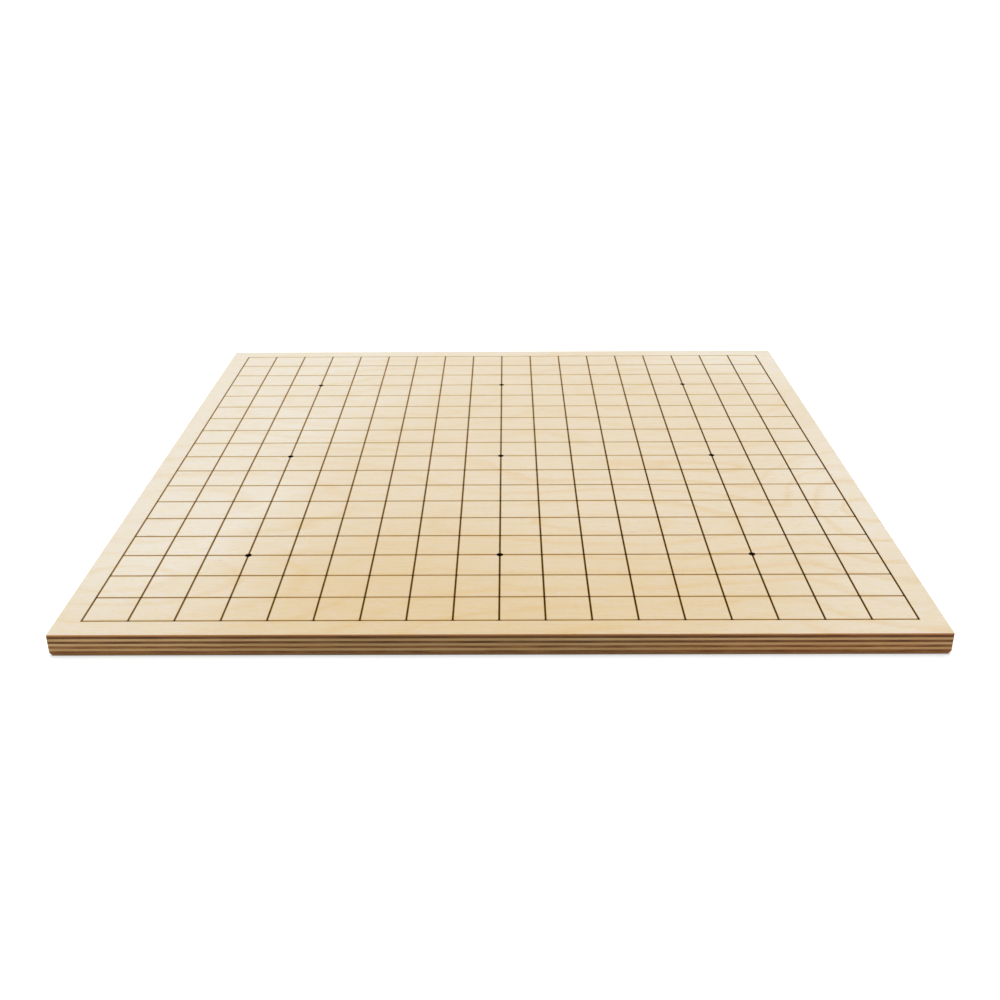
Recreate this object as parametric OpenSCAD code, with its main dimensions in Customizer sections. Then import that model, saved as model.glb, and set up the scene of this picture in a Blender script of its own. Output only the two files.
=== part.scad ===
// Go board: one flat panel of birch plywood with a playing grid burnt into its face.
// Millimetres. The origin is the centre of the underside, +Z is up and -Y is the front.

/* [Playing grid] */
// Number of lines each way
lines = 19; // [9, 13, 19]
// Spacing of the lines that run front to back
column_pitch = 23.5; // [20:0.1:30]
// Spacing of the lines that run left to right
row_pitch = 23.5; // [20:0.1:30]
// Border between the outermost columns and the left and right edges
side_border = 13.5; // [6:0.5:40]
// Border between the outermost rows and the front and back edges
end_border = 13.5; // [6:0.5:40]
// Width of a burnt line
line_w = 1; // [0.6:0.05:2]
// Depth of a burnt line
line_depth = 0.25; // [0.2:0.05:0.6]
// Diameter of a star point
star_d = 3.8; // [2.4:0.1:6]
// How much deeper a star point is burnt than a line
star_extra_depth = 0.1; // [0:0.05:0.15]
// Thickness of the charred skin that lines every burnt groove
char_t = 0.1; // [0.05:0.01:0.15]

/* [Plywood] */
// Number of plies, the face and back veneers included
ply_count = 9; // [5, 7, 9, 11, 13]
// Thickness of the face veneer, after sanding
face_t = 0.8; // [0.7:0.05:1.6]
// Thickness of each core ply
core_t = 1.35; // [1:0.05:2]
// Thickness of the back veneer
back_t = 1.35; // [0.8:0.05:1.6]
// Thickness of each film of glue between two plies
glue_t = 0.05; // [0.03:0.01:0.1]

/* [Edges] */
// Radius of the four upright corners
corner_r = 0.7; // [0.3:0.1:4]
// Rounding along the edges of the playing face
face_edge_r = 0.5; // [0.2:0.1:3]
// Bevel under the left and right edges
side_bevel = 2; // [0.2:0.1:3]
// Bevel under the front and back edges
end_bevel = 0.3; // [0.2:0.1:3]

/* [Hidden] */
$fn = 64;
// Plies are counted from the face, which is ply 1, down to the back, which is the last
CORES = [2 : ply_count - 1];
// Film n joins ply n to the ply below it
FILMS = [1 : ply_count - 1];

ply_pitch = core_t + glue_t;
board_w = (lines - 1) * column_pitch + 2 * side_border;
board_d = (lines - 1) * row_pitch + 2 * end_border;
board_t = face_t + (ply_count - 2) * ply_pitch + glue_t + back_t;

// Lines are counted from 1. Small boards carry their star points on the third line, others on the fourth.
middle_line = (lines + 1) / 2;
star_line = lines < 12 ? 3 : 4;
STAR_LINES = [star_line, middle_line, lines + 1 - star_line];
star_depth = line_depth + star_extra_depth;

// A cutter runs this far past the face that it opens
past = 1;

// Height of the top of film n, which is the underside of ply n
function film_top(n) = board_t - face_t - (n - 1) * ply_pitch;

// Distance of a line from the middle line
function line_place(n, pitch) = (n - middle_line) * pitch;

// Outline of the panel from above
module plan_outline() {
    square([board_w, board_d - 2 * corner_r], center = true);
    square([board_w - 2 * corner_r, board_d], center = true);
    for (x = [-1, 1], y = [-1, 1])
        translate([x * (board_w / 2 - corner_r), y * (board_d / 2 - corner_r)])
            circle(r = corner_r);
}

// Half of an upright section across the panel, from its middle out to one edge
module half_section(reach, bevel) {
    difference() {
        square([reach, board_t]);
        translate([reach - face_edge_r, board_t - face_edge_r])
            difference() {
                square(face_edge_r + past);
                circle(r = face_edge_r);
            }
        polygon([[reach - bevel, 0], [reach, bevel], [reach + past, bevel],
                 [reach + past, -past], [reach - bevel, -past]]);
    }
}

// Upright section across the panel, drawn out along the panel
module section_bar(span, run, bevel) {
    rotate([90, 0, 0])
        linear_extrude(run, center = true) {
            half_section(span / 2, bevel);
            mirror([1, 0])
                half_section(span / 2, bevel);
        }
}

// The whole panel as sawn and sanded, before it is burnt
module sanded_panel() {
    intersection() {
        linear_extrude(board_t)
            plan_outline();
        section_bar(board_w, board_d, side_bevel);
        rotate([0, 0, 90])
            section_bar(board_d, board_w, end_bevel);
    }
}

// One layer of the panel, from a height upwards
module layer(bottom, thickness) {
    intersection() {
        sanded_panel();
        translate([-board_w / 2, -board_d / 2, bottom])
            cube([board_w, board_d, thickness]);
    }
}

// Plan of the playing lines, each of the given width
module line_plan(width) {
    for (n = [1 : lines]) {
        translate([line_place(n, column_pitch), 0])
            square([width, (lines - 1) * row_pitch + width], center = true);
        translate([0, line_place(n, row_pitch)])
            square([(lines - 1) * column_pitch + width, width], center = true);
    }
}

// Plan of the nine star points
module star_plan(diameter) {
    for (x = STAR_LINES, y = STAR_LINES)
        translate([line_place(x, column_pitch), line_place(y, row_pitch)])
            circle(d = diameter);
}

// Sinks a plan into the playing face. The excess lets a cutter stand clear of the face.
module sunk(depth, excess = 0) {
    translate([0, 0, board_t - depth])
        linear_extrude(depth + excess)
            children();
}

// The open channels that the char leaves along the lines
module open_channels() {
    sunk(line_depth - char_t, past)
        line_plan(line_w - 2 * char_t);
}

// Birch veneer with its grain from left to right, grooved for the lines and star points
module face_veneer() {
    color("BurlyWood")
        difference() {
            layer(board_t - face_t, face_t);
            sunk(line_depth, past)
                line_plan(line_w);
            sunk(star_depth, past)
                star_plan(star_d);
        }
}

// Birch plies with crossing grain: an even ply shows its end grain at the front
module core_ply(n) {
    color(n % 2 == 0 ? "SaddleBrown" : "Tan")
        layer(film_top(n), core_t);
}

// Birch veneer of the underside
module back_veneer() {
    color("Peru")
        layer(0, back_t);
}

// Cured glue between two plies
module glue_film(n) {
    color("Maroon")
        layer(film_top(n) - glue_t, glue_t);
}

// Charred skin on the walls and floors of the lines
module burnt_grid() {
    color("Black")
        difference() {
            sunk(line_depth)
                line_plan(line_w);
            open_channels();
            sunk(line_depth, past)
                star_plan(star_d);
        }
}

// Charred cups of the star points, open where the lines run into them
module burnt_star_points() {
    color("DarkSlateGray")
        difference() {
            sunk(star_depth)
                star_plan(star_d);
            sunk(star_depth - char_t, past)
                star_plan(star_d - 2 * char_t);
            open_channels();
        }
}

face_veneer();
for (n = CORES)
    core_ply(n);
back_veneer();
for (n = FILMS)
    glue_film(n);
burnt_grid();
burnt_star_points();
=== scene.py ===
import math

import bmesh
import bpy
from mathutils import Matrix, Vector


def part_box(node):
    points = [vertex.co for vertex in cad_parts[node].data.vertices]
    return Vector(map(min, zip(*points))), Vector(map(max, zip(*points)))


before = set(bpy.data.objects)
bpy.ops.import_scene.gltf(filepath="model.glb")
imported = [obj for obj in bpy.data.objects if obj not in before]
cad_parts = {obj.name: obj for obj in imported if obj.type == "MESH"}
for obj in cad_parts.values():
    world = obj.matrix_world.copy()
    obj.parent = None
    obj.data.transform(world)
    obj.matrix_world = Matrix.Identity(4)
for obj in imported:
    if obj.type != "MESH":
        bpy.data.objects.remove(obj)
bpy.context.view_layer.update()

# Back veneer: the sheet of birch that the board lies on, peeled from the log like all the plies.
# Its grain runs from left to right. It is pressed on with hot resin, sanded and left bare. The bevels under
# the left and right edges of the board let fingers get under it.
MM = 0.001
ALONG_X = 0.0
ALONG_Y = math.pi / 2
BACK_SHEET = 0.61
BACK_RELIEF = 0.08 * MM


def tone(red, green, blue):
    """A colour given from 0 to 255, as the eye sees it, in the linear form that a shader takes."""
    shares = [part / 255 for part in (red, green, blue)]
    return (*[s / 12.92 if s <= 0.04045 else ((s + 0.055) / 1.055) ** 2.4 for s in shares], 1.0)


BACK_LONG = {
    "Pale": tone(236, 219, 189),
    "Warm": tone(228, 205, 166),
    "Ring": tone(206, 168, 116),
    "Fleck": tone(140, 92, 56),
}
BACK_END = {"Light": tone(176, 124, 78), "Dark": tone(138, 90, 53)}
# Brown of the sawn edge and bevel, and painted shade: darker where the foot of the board meets the table
BACK_EDGE_BROWN_AND_SHADE = (0.56, 0.4, 0.235, 1.0)


def put(tree, kind, sockets=None, **options):
    """Adds a node, sets its options, and fills its input sockets with values or with links."""
    node = tree.nodes.new("ShaderNode" + kind)
    for name, value in options.items():
        setattr(node, name, value)
    for name, value in (sockets or {}).items():
        if isinstance(value, bpy.types.NodeSocket):
            tree.links.new(value, node.inputs[name])
        else:
            node.inputs[name].default_value = value
    return node


def reckon(tree, operation, *values):
    """One step of arithmetic on numbers and sockets."""
    return put(tree, "Math", dict(enumerate(values)), operation=operation).outputs[0]


def ease(tree, value, low, high, start=0.0, end=1.0):
    """Goes smoothly from start to end while the value goes from low to high."""
    sockets = {"Value": value, "From Min": low, "From Max": high, "To Min": start, "To Max": end}
    return put(tree, "MapRange", sockets, interpolation_type="SMOOTHSTEP").outputs["Result"]


def lay(tree, mask, under, over, mode="MIX"):
    """Lays one colour over another where the mask is 1."""
    return put(tree, "Mix", {0: mask, 6: under, 7: over}, data_type="RGBA", blend_type=mode).outputs[2]


def streaks(tree, vector, along, across, detail=2.0):
    """Noise drawn out along the grain, with marks about so long and so wide."""
    shrink = (1 / along, 1 / across, 1 / across)
    stretched = put(tree, "VectorMath", {0: vector, 1: shrink}, operation="MULTIPLY").outputs[0]
    return put(tree, "TexNoise", {"Vector": stretched, "Scale": 1.0, "Detail": detail}).outputs[0]


def new_group(name, takes, gives):
    """An empty node group with named sockets. Gives the group, its way in and its way out."""
    tree = bpy.data.node_groups.new(name, "ShaderNodeTree")
    for label, kind in takes.items():
        tree.interface.new_socket(label, in_out="INPUT", socket_type="NodeSocket" + kind)
    for label, kind in gives.items():
        tree.interface.new_socket(label, in_out="OUTPUT", socket_type="NodeSocket" + kind)
    return tree, tree.nodes.new("NodeGroupInput").outputs, tree.nodes.new("NodeGroupOutput").inputs


# Marks of the long grain, each given by its length along the fibres and its width across them
RING_BREAK = (90 * MM, 60 * MM)
MOTTLE = (14 * MM, 4 * MM)
FIBRE = (24 * MM, 0.6 * MM)
DASH = (3.5 * MM, 0.65 * MM)
PORE = (3.5 * MM, 0.16 * MM)
FLECK = (9 * MM, 1.1 * MM)
FLECKED_AREA = (70 * MM, 45 * MM)
MOTTLE_SHADE = (0.995, 0.96, 0.8, 1.0)
FIBRE_SHADE = (0.92, 0.89, 0.83, 1.0)
DASH_SHADE = (0.98, 0.95, 0.76, 1.0)
MOTTLE_STRENGTH = 0.5
FIBRE_STRENGTH = 0.35
DASH_STRENGTH = 0.8
PORE_STRENGTH = 0.13
PORE_SINK = 0.6
FLECK_STRENGTH = 0.4
# A ring darkens slowly through the year's growth, is darkest at its peak, and ends sharply
RING_START = 0.6
RING_PEAK = 0.88
RING_STRENGTH = (0.13, 0.34)
LONG_ROUGHNESS = (0.5, 0.68)


def make_long_grain():
    """Peeled birch seen along its fibres: rings like contour lines, fibre, short dashes, pores and flecks."""
    tree, given, made = new_group(
        "birch_long_grain",
        {"Vector": "Vector", "Rings": "Float", "Showing": "Float", "Warmth": "Float",
         "Pale": "Color", "Warm": "Color", "Ring": "Color", "Fleck": "Color"},
        {"Color": "Color", "Roughness": "Float", "Height": "Float"},
    )
    place = given["Vector"]
    year = reckon(tree, "FRACT", given["Rings"])
    darkening = ease(tree, year, RING_START, RING_PEAK)
    ring = reckon(tree, "MULTIPLY", darkening, ease(tree, year, RING_PEAK, 1.0, 1.0, 0.0))
    broken = ease(tree, streaks(tree, place, *RING_BREAK, detail=1.0), 0.36, 0.64, *RING_STRENGTH)
    ring = reckon(tree, "MULTIPLY", ring, reckon(tree, "MULTIPLY", broken, given["Showing"]))
    mottle = ease(tree, streaks(tree, place, *MOTTLE, detail=1.0), 0.35, 0.7, 0.0, MOTTLE_STRENGTH)
    fibre = streaks(tree, place, *FIBRE, detail=3.0)
    dashes = ease(tree, streaks(tree, place, *DASH, detail=1.0), 0.3, 0.7, 0.0, DASH_STRENGTH)
    pores = ease(tree, streaks(tree, place, *PORE, detail=1.0), 0.57, 0.72)
    flecks = ease(tree, streaks(tree, place, *FLECK, detail=1.0), 0.7, 0.76)
    flecked = ease(tree, streaks(tree, place, *FLECKED_AREA, detail=0.0), 0.58, 0.65)

    color = lay(tree, given["Warmth"], given["Pale"], given["Warm"])
    color = lay(tree, ring, color, given["Ring"])
    color = lay(tree, mottle, color, MOTTLE_SHADE, "MULTIPLY")
    color = lay(tree, ease(tree, fibre, 0.35, 0.7, 0.0, FIBRE_STRENGTH), color, FIBRE_SHADE, "MULTIPLY")
    color = lay(tree, dashes, color, DASH_SHADE, "MULTIPLY")
    color = lay(tree, reckon(tree, "MULTIPLY", pores, PORE_STRENGTH), color, given["Fleck"])
    flecks = reckon(tree, "MULTIPLY", flecks, flecked)
    color = lay(tree, reckon(tree, "MULTIPLY", flecks, FLECK_STRENGTH), color, given["Fleck"])
    tree.links.new(color, made["Color"])
    tree.links.new(ease(tree, fibre, 0.2, 0.8, *LONG_ROUGHNESS), made["Roughness"])
    sunk = reckon(tree, "MULTIPLY", pores, PORE_SINK)
    tree.links.new(reckon(tree, "SUBTRACT", fibre, sunk), made["Height"])
    return tree


# Marks of the end grain, given by their length and width on the cut
LATHE_CHECK = (2.2 * MM, 0.5 * MM)
LATHE_SLANT = 0.9
GROWTH_LAYER = (22 * MM, 0.35 * MM)
GROWTH_PATCH = (16 * MM, 1.6 * MM)
CUT_PORE = (0.14 * MM, 0.14 * MM)
CUT_PORE_SHADE = (0.55, 0.5, 0.45, 1.0)
LATHE_CHECK_SHADE = (0.5, 0.42, 0.34, 1.0)
LATHE_CHECK_STRENGTH = 0.3
CUT_PORE_STRENGTH = 0.5
END_ROUGHNESS = (0.7, 0.85)


def make_end_grain():
    """Peeled birch cut across its fibres: layers of growth, open pores and slanting lathe checks."""
    tree, given, made = new_group(
        "birch_end_grain",
        {"Vector": "Vector", "Light": "Color", "Dark": "Color"},
        {"Color": "Color", "Roughness": "Float", "Height": "Float"},
    )
    place = put(tree, "SeparateXYZ", {0: given["Vector"]}).outputs
    slant = reckon(tree, "MULTIPLY_ADD", place["Z"], LATHE_SLANT, place["Y"])
    across = put(tree, "CombineXYZ", {"X": place["Z"], "Y": slant}).outputs[0]
    checks = ease(tree, streaks(tree, across, *LATHE_CHECK), 0.58, 0.68)
    flat = put(tree, "CombineXYZ", {"X": place["Y"], "Y": place["Z"]}).outputs[0]
    growth = streaks(tree, flat, *GROWTH_LAYER)
    patch = streaks(tree, flat, *GROWTH_PATCH, detail=1.0)
    pores = streaks(tree, flat, *CUT_PORE, detail=1.0)

    shade = reckon(tree, "MULTIPLY_ADD", growth, 0.5, reckon(tree, "MULTIPLY", patch, 0.5))
    color = lay(tree, ease(tree, shade, 0.36, 0.64), given["Light"], given["Dark"])
    open_pores = ease(tree, pores, 0.5, 0.75, 0.0, CUT_PORE_STRENGTH)
    color = lay(tree, open_pores, color, CUT_PORE_SHADE, "MULTIPLY")
    torn = reckon(tree, "MULTIPLY", checks, LATHE_CHECK_STRENGTH)
    color = lay(tree, torn, color, LATHE_CHECK_SHADE, "MULTIPLY")
    tree.links.new(color, made["Color"])
    tree.links.new(ease(tree, growth, 0.2, 0.8, *END_ROUGHNESS), made["Roughness"])
    tree.links.new(reckon(tree, "SUBTRACT", growth, reckon(tree, "ADD", checks, pores)), made["Height"])
    return tree


long_grain = make_long_grain()
end_grain = make_end_grain()


# Figure of a plain sheet
LOG_SWELL = (210 * MM, 130 * MM)
LOG_RINGS = 12.0
RING_WANDER = (45 * MM, 14 * MM)
RING_WANDER_SHARE = 0.5
WARM_AREA = (160 * MM, 70 * MM)


def log_figure(tree, place):
    """How a sheet was peeled. Gives from place to place the count of growth rings, how far they show, and the
    warmth of the wood."""
    swell = streaks(tree, place, *LOG_SWELL, detail=1.0)
    wander = reckon(tree, "MULTIPLY", streaks(tree, place, *RING_WANDER), RING_WANDER_SHARE)
    rings = reckon(tree, "MULTIPLY_ADD", swell, LOG_RINGS, wander)
    return rings, 1.0, ease(tree, streaks(tree, place, *WARM_AREA), 0.35, 0.65)


def birch(tree, turn, sheet, long_tones, end_tones, figure=log_figure):
    """Birch with its grain turned from the X axis, cut from the log at its own place. Long grain shows on its
    faces and end grain where a face cuts across the fibres. Gives the colour, roughness and height."""
    coords = put(tree, "TexCoord").outputs
    mapping = {"Vector": coords["Object"], "Rotation": (0.0, 0.0, -turn), "Location": (0.0, 0.0, sheet)}
    place = put(tree, "Mapping", mapping).outputs[0]
    fibre_axis = (math.cos(turn), math.sin(turn), 0.0)
    facing = put(tree, "VectorMath", {0: coords["Normal"], 1: fibre_axis}, operation="DOT_PRODUCT")
    cut_across = ease(tree, reckon(tree, "ABSOLUTE", facing.outputs["Value"]), 0.45, 0.8)
    rings, showing, warmth = figure(tree, place)
    peel = {"Vector": place, "Rings": rings, "Showing": showing, "Warmth": warmth}
    long_side = put(tree, "Group", peel, node_tree=long_grain)
    end_side = put(tree, "Group", {"Vector": place}, node_tree=end_grain)
    for group, tones in ((long_side, long_tones), (end_side, end_tones)):
        for name, value in tones.items():
            group.inputs[name].default_value = value
    color = lay(tree, cut_across, long_side.outputs["Color"], end_side.outputs["Color"])
    roughness, height = [
        put(tree, "Mix", {0: cut_across, 2: long_side.outputs[name], 3: end_side.outputs[name]}).outputs[0]
        for name in ("Roughness", "Height")
    ]
    return color, roughness, height


# Tint of the sawn edge along the front of the board
EDGE_LEFT = (0.965, 0.94, 1.0, 1.0)
EDGE_MIDDLE = (0.78, 0.77, 0.795, 1.0)
EDGE_RIGHT = (0.93, 0.83, 0.84, 1.0)
EDGE_TURN = 100 * MM
EDGE_MIDDLE_PLACE = -15 * MM
EDGE_MIDDLE_REACH = 60 * MM
EDGE_ENDS_FROM = 170 * MM


def make_edge_tint():
    """How the tint of the sawn edge changes along the board: browner in the middle, redder to the right."""
    tree, given, made = new_group("edge_tint", {"Vector": "Vector"}, {"Color": "Color"})
    x = put(tree, "SeparateXYZ", {0: given["Vector"]}).outputs["X"]
    ends = lay(tree, ease(tree, x, -EDGE_TURN, EDGE_TURN), EDGE_LEFT, EDGE_RIGHT)
    off_middle = reckon(tree, "ABSOLUTE", reckon(tree, "SUBTRACT", x, EDGE_MIDDLE_PLACE))
    tint = lay(tree, ease(tree, off_middle, EDGE_MIDDLE_REACH, EDGE_ENDS_FROM), EDGE_MIDDLE, ends)
    tree.links.new(tint, made["Color"])
    return tree


edge_tint = make_edge_tint()


def brown_edge(tree, color, shade):
    """Tints the upright faces and bevels of a sheet with a tone and the edge tint. Flat faces stay as they
    are.
    """
    coords = put(tree, "TexCoord").outputs
    normal = put(tree, "SeparateXYZ", {0: coords["Normal"]}).outputs
    upright = ease(tree, reckon(tree, "ABSOLUTE", normal["Z"]), 0.75, 0.99, 1.0, 0.0)
    tint = put(tree, "Group", {"Vector": coords["Object"]}, node_tree=edge_tint).outputs["Color"]
    return lay(tree, upright, color, lay(tree, 1.0, tint, shade, "MULTIPLY"), "MULTIPLY")


GRAIN_BUMP = 0.35
WOOD_SPECULAR = 0.3


def finish_wood(tree, color, roughness, height, relief):
    """Joins a wood's colour, roughness and relief to its shader."""
    bump = put(tree, "Bump", {"Strength": GRAIN_BUMP, "Distance": relief, "Height": height})
    shader = put(tree, "BsdfPrincipled", {
        "Base Color": color,
        "Roughness": roughness,
        "Normal": bump.outputs[0],
        "Specular IOR Level": WOOD_SPECULAR,
    })
    tree.links.new(shader.outputs[0], put(tree, "OutputMaterial").inputs["Surface"])


def new_material(name):
    """An empty node material. Gives it and its node tree."""
    material = bpy.data.materials.new(name)
    material.use_nodes = True
    material.node_tree.nodes.clear()
    return material, material.node_tree


def dress(node_name, material):
    """Gives a CAD node its finished material."""
    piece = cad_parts[node_name]
    piece.data.materials.clear()
    piece.data.materials.append(material)


def make_back_birch():
    """Plain birch, browned along its edges, with painted shade on the bevel that faces the table."""
    material, tree = new_material("back_birch")
    color, roughness, height = birch(tree, ALONG_X, BACK_SHEET, BACK_LONG, BACK_END)
    finish_wood(tree, brown_edge(tree, color, BACK_EDGE_BROWN_AND_SHADE), roughness, height, BACK_RELIEF)
    return material


dress("back_veneer", make_back_birch())

# Core plies: seven sheets of peeled birch, pressed together with the grain of each across that of the next.
# On the sawn edge a ply shows pale long grain or dark end grain, so the edge is banded. Each ply comes from
# a sheet of its own and is a little darker or lighter than the rest along the front and the back.
CORE_SHADES = {2: 0.48, 3: 0.93, 4: 0.65, 5: 0.94, 6: 1.0, 7: 1.0, 8: 1.0}
CORE_LONG = {
    "Pale": tone(238, 202, 144),
    "Warm": tone(225, 185, 123),
    "Ring": tone(202, 156, 93),
    "Fleck": tone(135, 89, 53),
}
CORE_END = {"Light": tone(192, 135, 77), "Dark": tone(138, 90, 47)}
CORE_EDGE = (1.0, 1.0, 1.0, 1.0)
CORE_SHEET_STEP = 0.1
CORE_RELIEF = 0.12 * MM


def shaded(tones, share):
    """The same tones, a little darker or lighter."""
    return {name: (*[part * share for part in color[:3]], 1.0) for name, color in tones.items()}


def make_core_birch(ply, shade):
    """The wood of one core ply. Even plies have their grain from front to back."""
    material, tree = new_material(f"core_birch_{ply}")
    if ply % 2 == 0:
        turn, long_tones, end_tones = ALONG_Y, CORE_LONG, shaded(CORE_END, shade)
    else:
        turn, long_tones, end_tones = ALONG_X, shaded(CORE_LONG, shade), CORE_END
    color, roughness, height = birch(tree, turn, ply * CORE_SHEET_STEP, long_tones, end_tones)
    finish_wood(tree, brown_edge(tree, color, CORE_EDGE), roughness, height, CORE_RELIEF)
    return material


for ply, shade in CORE_SHADES.items():
    dress(f"core_ply_{ply}", make_core_birch(ply, shade))

# Glue films: dark resin that was pressed hot between the plies, a hair's breadth thick.
# They show only as fine lines on the sawn edge, a little paler where the resin ran thin.
FILMS = range(1, 9)
RESIN_DARK = tone(66, 41, 25)
RESIN_THIN = tone(112, 76, 46)
RESIN_RUN = 9 * MM
RESIN_ROUGHNESS = (0.45, 0.6)


def make_resin():
    """Cured resin with a slight gloss."""
    material, tree = new_material("glue_resin")
    run = streaks(tree, put(tree, "TexCoord").outputs["Object"], RESIN_RUN, RESIN_RUN)
    shader = put(tree, "BsdfPrincipled", {
        "Base Color": lay(tree, ease(tree, run, 0.35, 0.7), RESIN_DARK, RESIN_THIN),
        "Roughness": ease(tree, run, 0.3, 0.7, *RESIN_ROUGHNESS),
    })
    tree.links.new(shader.outputs[0], put(tree, "OutputMaterial").inputs["Surface"])
    return material


resin = make_resin()
for film in FILMS:
    dress(f"glue_film_{film}", resin)

# Face veneer: the playing face, the palest and cleanest sheet, pressed on with its grain from left to right.
# It is sanded smooth and left bare. Its rings nest round a few spots, and the wood is warm near the front and
# pale at its sides. The burning of the lines and star points has toasted the wood beside them.
FACE_SHEET = 0.0
FACE_RELIEF = 0.05 * MM
FACE_LONG = {
    "Pale": tone(237, 229, 221),
    "Warm": tone(226, 204, 171),
    "Ring": tone(224, 187, 126),
    "Fleck": tone(178, 124, 80),
}
FACE_END = {"Light": tone(206, 164, 112), "Dark": tone(160, 112, 68)}
FACE_EDGE = (0.76, 0.4, 0.15, 1.0)
# The middle of each nest of rings, and the spacing of its rings from left to right and from front to back
RING_NESTS = (
    ((57 * MM, -100 * MM), (51 * MM, 17 * MM)),
    ((141 * MM, 125 * MM), (46 * MM, 30 * MM)),
    ((-80 * MM, 116 * MM), (46 * MM, 24 * MM)),
    ((-214 * MM, -75 * MM), (70 * MM, 26 * MM)),
    ((-204 * MM, -168 * MM), (34 * MM, 16 * MM)),
    ((220 * MM, -84 * MM), (18 * MM, 24 * MM)),
)
RING_BLEND = 0.8
FIRST_RING = 0.7
# Rings show less towards the back and the left
RINGS_CLEAR = -40 * MM
RINGS_FAINT = 60 * MM
FAR_SHOWING = 0.5
LEFT_RINGS_FROM = -215 * MM
LEFT_RINGS_TO = -90 * MM
LEFT_SHOWING = 0.55
# Marks of noise that bend the rings, in wide sways and small wavers, and by how many rings
RING_SWAY = (120 * MM, 70 * MM)
RING_SWAY_SHARE = 1.0
RING_WAVER = (40 * MM, 16 * MM)
RING_WAVER_SHARE = 0.6
# Warm wood: a warm spot at the front, and a middle that fades to pale sides along a ragged edge
WARM_SPOT = (-12 * MM, -215 * MM)
WARM_SPOT_REACH = (225 * MM, 150 * MM)
WARM_SPOT_FADE = 1.2
WARM_SPOT_WARMTH = 0.52
MIDDLE_SPOT = (50 * MM, -50 * MM)
MIDDLE_STRETCH = (1.0, 1.45)
PALE_FROM = 120 * MM
PALE_TO = 250 * MM
MIDDLE_WARMTH = 0.48
RAGGED = (150 * MM, 90 * MM)
RAGGED_REACH = 220 * MM
# Pale sapwood: the slant and place of its edge, and where it ends towards the back
SAP_SLANT = 0.5
SAP_EDGE = -98 * MM
SAP_BLUR = 10 * MM
SAP_FROM = -70 * MM
SAP_TO = 10 * MM
# Warmer wood along the front border
FRONT_WARMTH = 0.3
FRONT_FROM = -222 * MM
FRONT_TO = -145 * MM
# Toasting beside the dark columns and star points, and beside the lighter rows
TOAST = tone(196, 148, 72)
COLUMN_TOAST = 0.5
COLUMN_TOAST_REACH = 0.45 * MM
ROW_TOAST = 0.36
ROW_TOAST_REACH = 1.2 * MM
LINES = 19
LINE_WIDTH = 1 * MM
CELLS_BETWEEN_STARS = 6

grid_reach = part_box("burnt_grid")[1].x
line_pitch = (2 * grid_reach - LINE_WIDTH) / (LINES - 1)
star_pitch = line_pitch * CELLS_BETWEEN_STARS
star_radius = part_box("burnt_star_points")[1].x - star_pitch


def distance_from(tree, place, spot, step=(1.0, 1.0)):
    """Length of the way from a spot to a place, both given as two parts, counted in steps."""
    gaps = [
        reckon(tree, "DIVIDE", reckon(tree, "SUBTRACT", part, start), size)
        for part, start, size in zip(place, spot, step)
    ]
    return reckon(tree, "SQRT", reckon(tree, "ADD", *[reckon(tree, "MULTIPLY", gap, gap) for gap in gaps]))


def make_grid_distances():
    """How far a point of the face is from the nearest column line, row line and star point."""
    tree, given, made = new_group(
        "grid_distances",
        {"Vector": "Vector"},
        {"Column": "Float", "Row": "Float", "Star": "Float"},
    )
    place = put(tree, "SeparateXYZ", {0: given["Vector"]}).outputs
    to_star = [reckon(tree, "PINGPONG", place[axis], star_pitch / 2) for axis in ("X", "Y")]
    tree.links.new(reckon(tree, "PINGPONG", place["X"], line_pitch / 2), made["Column"])
    tree.links.new(reckon(tree, "PINGPONG", place["Y"], line_pitch / 2), made["Row"])
    tree.links.new(distance_from(tree, to_star, (0.0, 0.0)), made["Star"])
    return tree


grid_distances = make_grid_distances()


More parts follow.
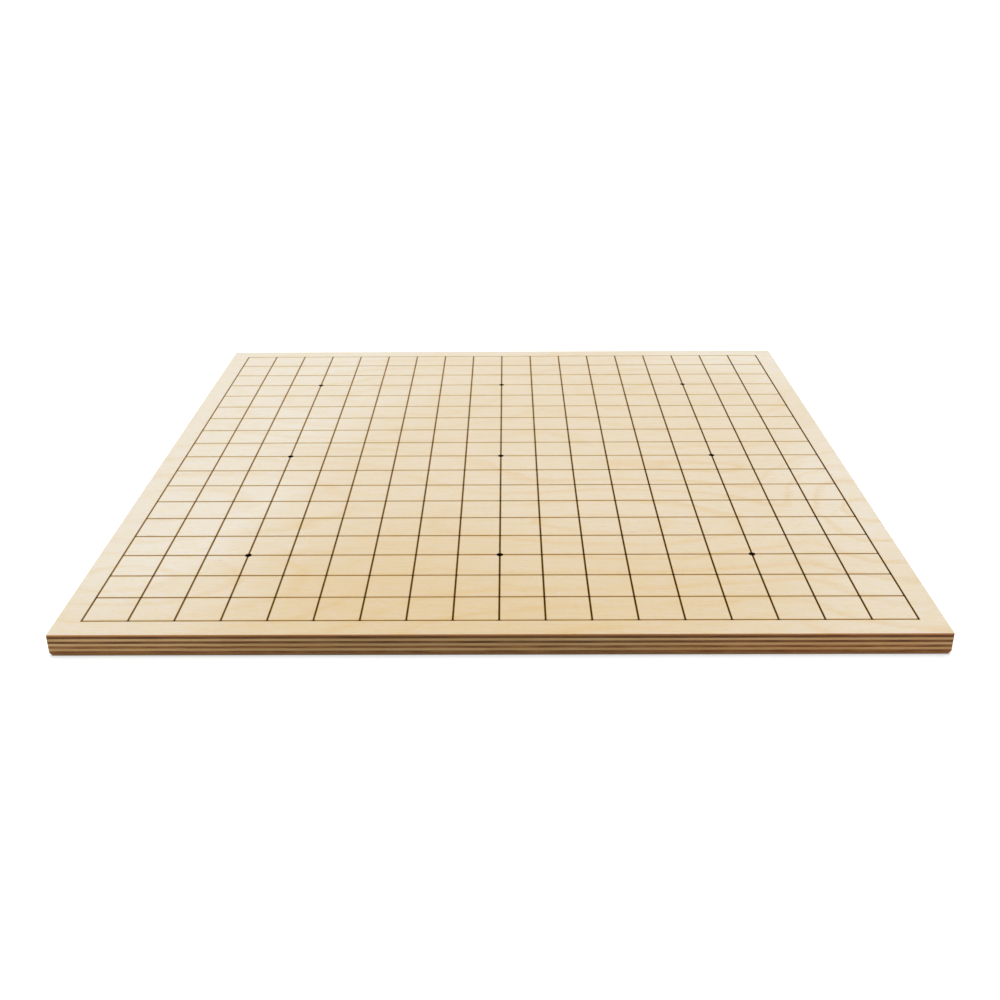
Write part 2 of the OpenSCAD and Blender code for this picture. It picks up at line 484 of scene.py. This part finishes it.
def face_figure(tree, place):
    """Rings that nest round the spots where the log stood out, in wood that is warm near the front and pale
    at its sides. Pale sapwood cuts off the front left corner, and the front border is warmer again."""
    x, y = list(put(tree, "SeparateXYZ", {0: place}).outputs)[:2]
    rings, *others = [distance_from(tree, (x, y), *nest) for nest in RING_NESTS]
    for other in others:
        rings = reckon(tree, "SMOOTH_MIN", rings, other, RING_BLEND)
    rings = reckon(tree, "SUBTRACT", rings, FIRST_RING)
    sway = streaks(tree, place, *RING_SWAY, detail=1.0)
    rings = reckon(tree, "MULTIPLY_ADD", sway, RING_SWAY_SHARE, rings)
    rings = reckon(tree, "MULTIPLY_ADD", streaks(tree, place, *RING_WAVER), RING_WAVER_SHARE, rings)
    showing = ease(tree, y, RINGS_CLEAR, RINGS_FAINT, 1.0, FAR_SHOWING)
    left = ease(tree, x, LEFT_RINGS_FROM, LEFT_RINGS_TO, LEFT_SHOWING, 1.0)
    showing = reckon(tree, "MULTIPLY", showing, left)

    ragged = reckon(tree, "SUBTRACT", streaks(tree, place, *RAGGED), 0.5)
    to_warm_spot = distance_from(tree, (x, y), WARM_SPOT, WARM_SPOT_REACH)
    spot_warmth = ease(tree, reckon(tree, "ADD", to_warm_spot, ragged), 0.0, WARM_SPOT_FADE, WARM_SPOT_WARMTH, 0.0)
    off_middle = distance_from(tree, (x, y), MIDDLE_SPOT, MIDDLE_STRETCH)
    outward = reckon(tree, "MULTIPLY_ADD", ragged, RAGGED_REACH, off_middle)
    sides = ease(tree, outward, PALE_FROM, PALE_TO, MIDDLE_WARMTH, 0.0)
    slanted = reckon(tree, "MULTIPLY_ADD", y, -SAP_SLANT, reckon(tree, "MULTIPLY_ADD", ragged, SAP_BLUR, x))
    sap = ease(tree, slanted, SAP_EDGE + SAP_BLUR, SAP_EDGE - SAP_BLUR)
    sap = reckon(tree, "MULTIPLY", sap, ease(tree, y, SAP_FROM, SAP_TO, 1.0, 0.0))
    warmth = reckon(tree, "MULTIPLY", reckon(tree, "ADD", spot_warmth, sides), reckon(tree, "SUBTRACT", 1.0, sap))
    front = ease(tree, y, FRONT_FROM, FRONT_TO, FRONT_WARMTH, 0.0)
    warmth = reckon(tree, "MULTIPLY_ADD", front, reckon(tree, "SUBTRACT", 1.0, warmth), warmth)
    return rings, showing, warmth


def make_face_birch():
    """Pale birch, toasted beside the burnt lines and star points."""
    material, tree = new_material("face_birch")
    color, roughness, height = birch(tree, ALONG_X, FACE_SHEET, FACE_LONG, FACE_END, face_figure)
    coords = put(tree, "TexCoord").outputs["Object"]
    place = put(tree, "SeparateXYZ", {0: coords}).outputs
    near = put(tree, "Group", {"Vector": coords}, node_tree=grid_distances).outputs
    to_column, to_row = [reckon(tree, "SUBTRACT", near[name], LINE_WIDTH / 2) for name in ("Column", "Row")]
    to_star = reckon(tree, "SUBTRACT", near["Star"], star_radius)
    to_dark = reckon(tree, "MINIMUM", to_column, to_star)
    beside_dark = ease(tree, to_dark, 0.0, COLUMN_TOAST_REACH, COLUMN_TOAST, 0.0)
    beside_row = ease(tree, to_row, 0.0, ROW_TOAST_REACH, ROW_TOAST, 0.0)
    toast = reckon(tree, "MAXIMUM", beside_dark, beside_row)
    outward = reckon(tree, "MAXIMUM", *[reckon(tree, "ABSOLUTE", place[axis]) for axis in ("X", "Y")])
    on_grid = ease(tree, outward, grid_reach, grid_reach + COLUMN_TOAST_REACH, 1.0, 0.0)
    color = lay(tree, reckon(tree, "MULTIPLY", toast, on_grid), color, TOAST)

    finish_wood(tree, brown_edge(tree, color, FACE_EDGE), roughness, height, FACE_RELIEF)
    return material


dress("face_veneer", make_face_birch())

# Burnt lines: the skin of char that a hot beam leaves on the walls and floor of each shallow groove.
# It is darkest on the floor. Lines along the grain are a lighter, golden brown than those across it, and
# every crossing was burnt twice. Lines fade towards the back, and those across the grain also to the left.
ROW_BURN = {"Floor": tone(150, 108, 38), "Rim": tone(232, 190, 88), "Faint": tone(246, 224, 140)}
ROW_FAINT = 0.85
ROW_FAINT_FROM = -150 * MM
ROW_FAINT_TO = 150 * MM
COLUMN_BURN = {"Floor": tone(80, 56, 6), "Rim": tone(132, 96, 16), "Faint": tone(218, 183, 124)}
COLUMN_FAINT = 0.42
COLUMN_FAINT_SLANT = 0.8
COLUMN_FAINT_FROM = -200 * MM
COLUMN_FAINT_TO = 300 * MM
CROSSING_BURN = tone(58, 42, 20)
CROSSING_FAINT = 0.35
CHAR_SKIN = 0.1 * MM
CROSSING_REACH = 1.6 * MM
BURN_RUN = 14 * MM
BURN_SHADE = (0.8, 0.76, 0.7, 1.0)
SOOT_GRAIN = 0.25 * MM
SOOT_RELIEF = 0.05 * MM
SOOT_BUMP = 0.6
CHAR_ROUGHNESS = (0.75, 0.95)
SOOT_SHADE = (0.7, 0.66, 0.6, 1.0)


def finish_char(tree, color, soot):
    """Joins charred wood to its shader: dead matt, with grains of soot."""
    color = lay(tree, ease(tree, soot, 0.4, 0.75), color, SOOT_SHADE, "MULTIPLY")
    bump = put(tree, "Bump", {"Strength": SOOT_BUMP, "Distance": SOOT_RELIEF, "Height": soot})
    shader = put(tree, "BsdfPrincipled", {
        "Base Color": color,
        "Roughness": ease(tree, soot, 0.2, 0.8, *CHAR_ROUGHNESS),
        "Normal": bump.outputs[0],
        "Specular IOR Level": 0.0,
    })
    tree.links.new(shader.outputs[0], put(tree, "OutputMaterial").inputs["Surface"])


def make_line_char():
    """Brown char, lighter on the row lines and darkest where two lines cross."""
    material, tree = new_material("line_char")
    coords = put(tree, "TexCoord").outputs["Object"]
    soot = streaks(tree, coords, SOOT_GRAIN, SOOT_GRAIN, detail=3.0)
    burn = ease(tree, streaks(tree, coords, BURN_RUN, BURN_RUN), 0.3, 0.7)
    bottom, rim = [corner.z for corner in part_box("burnt_grid")]
    place = put(tree, "SeparateXYZ", {0: coords}).outputs
    up = ease(tree, place["Z"], bottom + CHAR_SKIN, rim)
    row_faint = ease(tree, place["Y"], ROW_FAINT_FROM, ROW_FAINT_TO, 0.0, ROW_FAINT)
    slanted = reckon(tree, "SUBTRACT", reckon(tree, "MULTIPLY", place["Y"], COLUMN_FAINT_SLANT), place["X"])
    column_faint = ease(tree, slanted, COLUMN_FAINT_FROM, COLUMN_FAINT_TO, 0.0, COLUMN_FAINT)
    row, column = [
        lay(tree, faint, lay(tree, up, tones["Floor"], tones["Rim"]), tones["Faint"])
        for tones, faint in ((ROW_BURN, row_faint), (COLUMN_BURN, column_faint))
    ]
    near = put(tree, "Group", {"Vector": coords}, node_tree=grid_distances).outputs
    on_column = reckon(tree, "LESS_THAN", near["Column"], near["Row"])
    to_crossing = reckon(tree, "MAXIMUM", near["Column"], near["Row"])
    at_crossing = ease(tree, to_crossing, LINE_WIDTH / 2, CROSSING_REACH, 1.0, 0.0)
    twice = ease(tree, slanted, COLUMN_FAINT_FROM, COLUMN_FAINT_TO, 1.0, CROSSING_FAINT)
    crossing = reckon(tree, "MULTIPLY", at_crossing, twice)
    color = lay(tree, burn, lay(tree, on_column, row, column), BURN_SHADE, "MULTIPLY")
    finish_char(tree, lay(tree, crossing, color, CROSSING_BURN), soot)
    return material


dress("burnt_grid", make_line_char())

# Star points: nine round cups that are burnt deeper than the lines, to mark the handicap places.
# Their char is black right up to the rim.
STAR_DARK = tone(6, 5, 4)
STAR_LIGHT = tone(15, 11, 8)


def make_star_char():
    """Black char, with a little brown in it."""
    material, tree = new_material("star_char")
    coords = put(tree, "TexCoord").outputs["Object"]
    soot = streaks(tree, coords, SOOT_GRAIN, SOOT_GRAIN, detail=3.0)
    finish_char(tree, lay(tree, ease(tree, soot, 0.35, 0.7), STAR_DARK, STAR_LIGHT), soot)
    return material


dress("burnt_star_points", make_star_char())

# Table and light: a white table top, which throws the light of a wide soft lamp back on to the front edge. To
# the eye it is nearly as bright as the room behind it, so only a faint shadow shows at the foot of the board.
# It is open under the board, where a second lamp lights the underside.
TABLE_REACH = 30.0
TABLE_OPENING = 444 * MM
TABLE_GAP = 0.03 * MM
TABLE_TONE = (0.92, 0.92, 0.92, 1.0)
# Brightness that only the eye sees, a little cool to make up for the brown light from the board's edge
TABLE_LIFT = 0.455
TABLE_LIFT_TONE = (0.89, 0.967, 1.0, 1.0)
LAMP_TILT = math.radians(16)
LAMP_WIDTH = math.radians(60)
LAMP_STRENGTH = 2.7
LOW_LAMP_STRENGTH = 2.2
ROOM_STRENGTH = 0.18
WHITE = (1.0, 1.0, 1.0, 1.0)


def seen_rays(tree):
    """1 for rays that show the surroundings by themselves, in a gloss or through glass, else 0."""
    rays = put(tree, "LightPath").outputs
    direct = reckon(tree, "MAXIMUM", rays["Is Camera Ray"], rays["Is Glossy Ray"])
    return reckon(tree, "MAXIMUM", direct, rays["Is Transmission Ray"])


def make_table_white():
    """Matt white paint."""
    material, tree = new_material("table_white")
    matt = put(tree, "BsdfDiffuse", {"Color": TABLE_TONE})
    strength = reckon(tree, "MULTIPLY", seen_rays(tree), TABLE_LIFT)
    lift = put(tree, "Emission", {"Strength": strength, "Color": TABLE_LIFT_TONE})
    both = put(tree, "AddShader", {0: matt.outputs[0], 1: lift.outputs[0]})
    tree.links.new(both.outputs[0], put(tree, "OutputMaterial").inputs["Surface"])
    return material


def make_table():
    """A flat top that reaches past the edges of every view, with an opening that the board covers."""
    mesh = bpy.data.meshes.new("table_top")
    shape = bmesh.new()
    bmesh.ops.create_grid(shape, x_segments=1, y_segments=1, size=TABLE_REACH)
    middle = shape.faces[:]
    border = TABLE_REACH - TABLE_OPENING / 2
    bmesh.ops.inset_individual(shape, faces=middle, thickness=border, use_even_offset=True)
    bmesh.ops.delete(shape, geom=middle, context="FACES")
    bmesh.ops.translate(shape, verts=shape.verts, vec=(0.0, 0.0, -TABLE_GAP))
    shape.to_mesh(mesh)
    shape.free()
    mesh.materials.append(make_table_white())
    return bpy.data.objects.new("table_top", mesh)


def make_room():
    """A white room that adds a little light from all round."""
    room = bpy.data.worlds.new("white_room")
    room.use_nodes = True
    tree = room.node_tree
    tree.nodes.clear()
    dim = put(tree, "Background", {"Strength": ROOM_STRENGTH, "Color": WHITE})
    white = put(tree, "Background", {"Strength": 1.0, "Color": WHITE})
    shown = put(tree, "MixShader", {0: seen_rays(tree), 1: dim.outputs[0], 2: white.outputs[0]})
    tree.links.new(shown.outputs[0], put(tree, "OutputWorld").inputs["Surface"])
    return room


def make_lamp(name, strength, tilt):
    """A wide soft lamp, tilted from straight overhead."""
    lamp = bpy.data.objects.new(name, bpy.data.lights.new(name, "SUN"))
    lamp.data.energy = strength
    lamp.data.angle = LAMP_WIDTH
    lamp.rotation_euler = (tilt, 0.0, 0.0)
    return lamp


table = make_table()
lamp = make_lamp("soft_lamp", LAMP_STRENGTH, -LAMP_TILT)
low_lamp = make_lamp("low_lamp", LOW_LAMP_STRENGTH, math.pi)
bpy.context.scene.world = make_room()

# Camera: it stands in front of the board, a little to the right of its middle, and looks down on it.
# Its place, turn and lens were found from the line crossings and the corners of the board.
CAMERA_PLACE = (4.5 * MM, -714 * MM, 316.5 * MM)
CAMERA_TURN = math.radians(0.423)
CAMERA_DOWN = math.radians(25.285)
CAMERA_ROLL = math.radians(-0.357)
CAMERA_LENS = 41.669
CAMERA_SENSOR = 36.0

camera = bpy.data.objects.new("camera", bpy.data.cameras.new("camera"))
camera.data.sensor_width = CAMERA_SENSOR
camera.data.lens = CAMERA_LENS
camera.matrix_world = (
    Matrix.Translation(CAMERA_PLACE)
    @ Matrix.Rotation(CAMERA_TURN, 4, "Z")
    @ Matrix.Rotation(math.pi / 2 - CAMERA_DOWN, 4, "X")
    @ Matrix.Rotation(CAMERA_ROLL, 4, "Z")
)
for fitting in (table, lamp, low_lamp, camera):
    bpy.context.scene.collection.objects.link(fitting)
bpy.context.scene.camera = camera
bpy.context.scene.view_settings.view_transform = "Standard"
